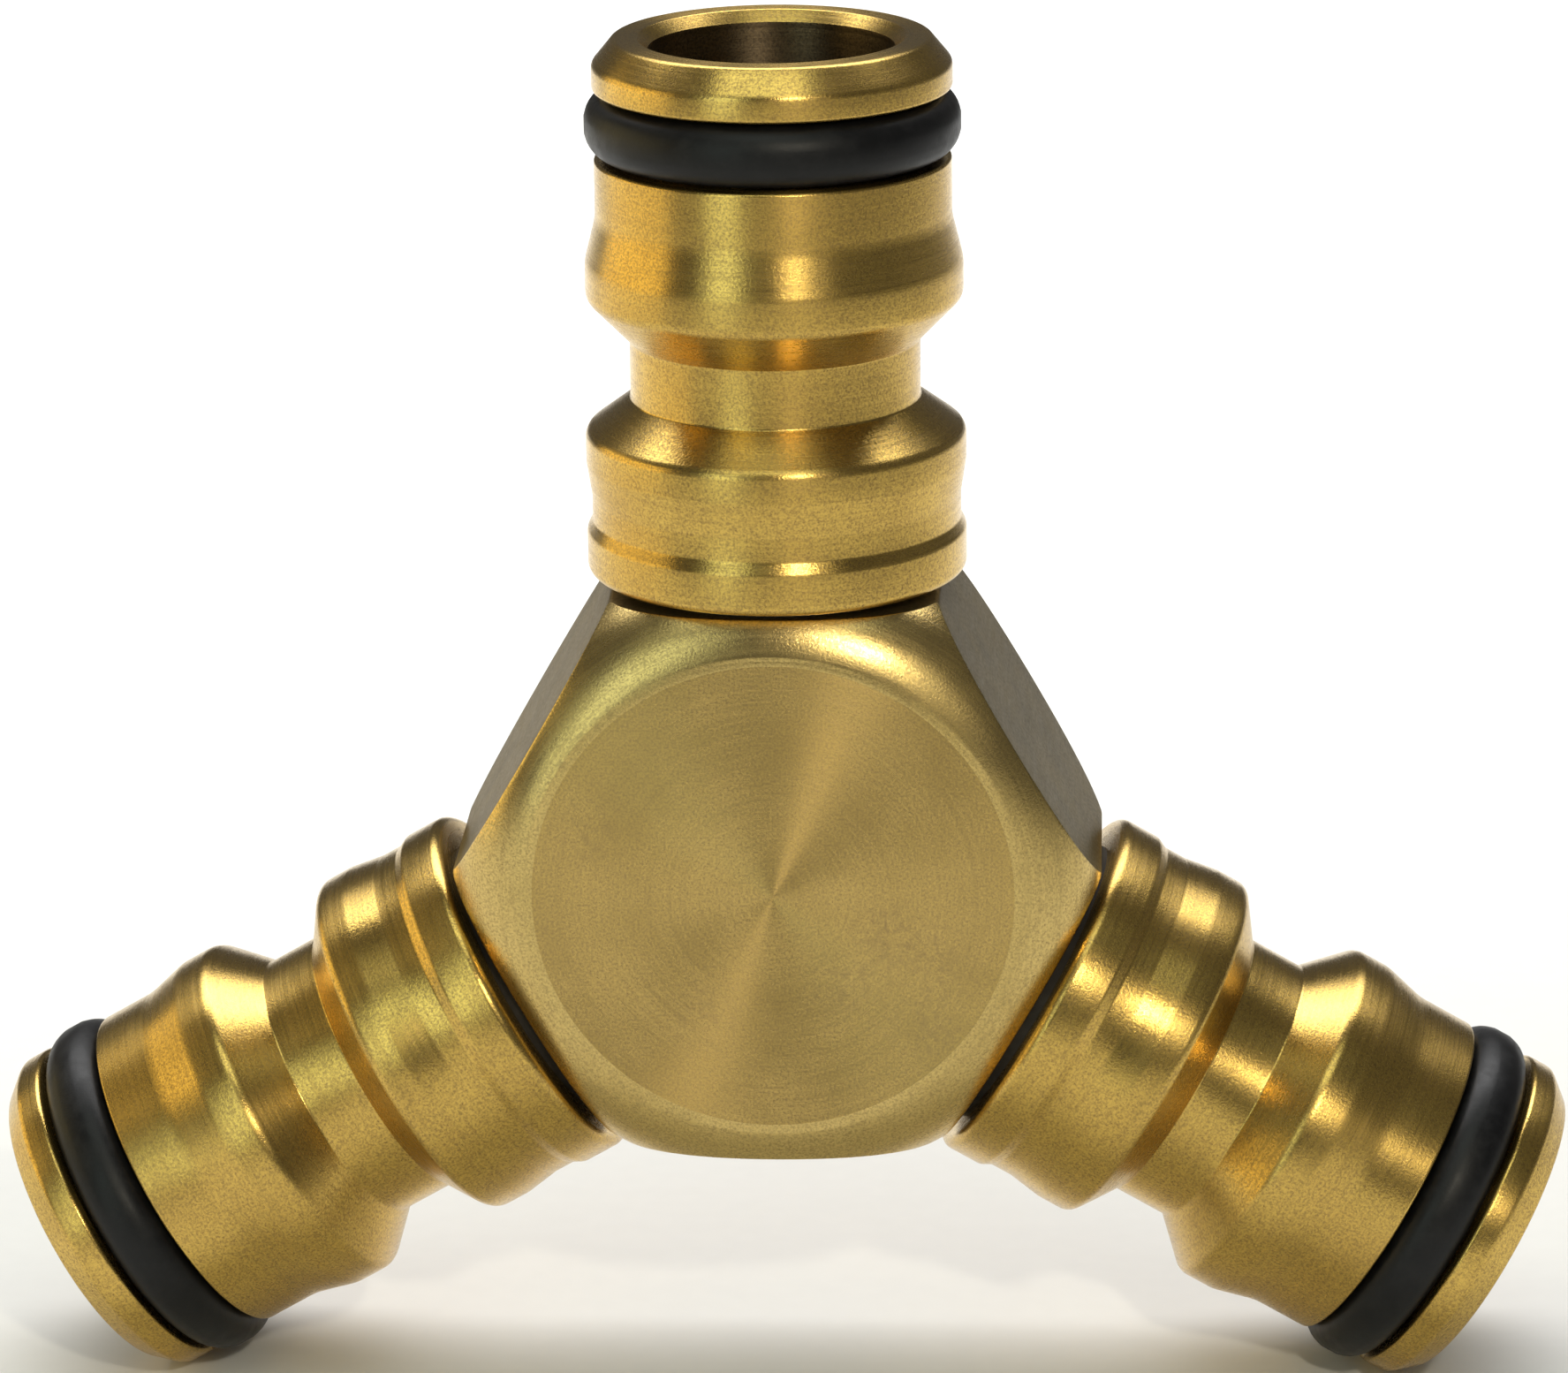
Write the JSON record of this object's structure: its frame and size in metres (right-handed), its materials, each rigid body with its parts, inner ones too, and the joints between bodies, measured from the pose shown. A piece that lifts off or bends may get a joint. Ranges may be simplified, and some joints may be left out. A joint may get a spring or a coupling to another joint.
{
  "type": "hose splitter",
  "caption": "Brass garden-hose splitter: a hexagonal block with quick-connect nipples in a star, so that one hose feeds the others.",
  "frame": {"origin": "where the three ports' axes meet, in the middle of the hexagonal block", "axes": "+Z along the top port, out of the block; -Y out of the block's front face and +Y out of its back; +X to the right, so the other two ports point down to the right and down to the left, 120 degrees from the top one"},
  "size_m": [0.0724, 0.0172, 0.0629],
  "materials": {
    "block_brass": "turned and blasted, satin",
    "nipple_brass": "turned, bright satin",
    "oring_rubber": "satin black",
    "washer_fibre": "matt dark grey"
  },
  "bodies": {
    "root": {"hex_block": "block_brass", "nipple_top": "nipple_brass", "nipple_right": "nipple_brass", "nipple_left": "nipple_brass", "oring_top": "oring_rubber", "oring_right": "oring_rubber", "oring_left": "oring_rubber", "washer_top": "washer_fibre", "washer_right": "washer_fibre", "washer_left": "washer_fibre"}
  },
  "joints": []
}
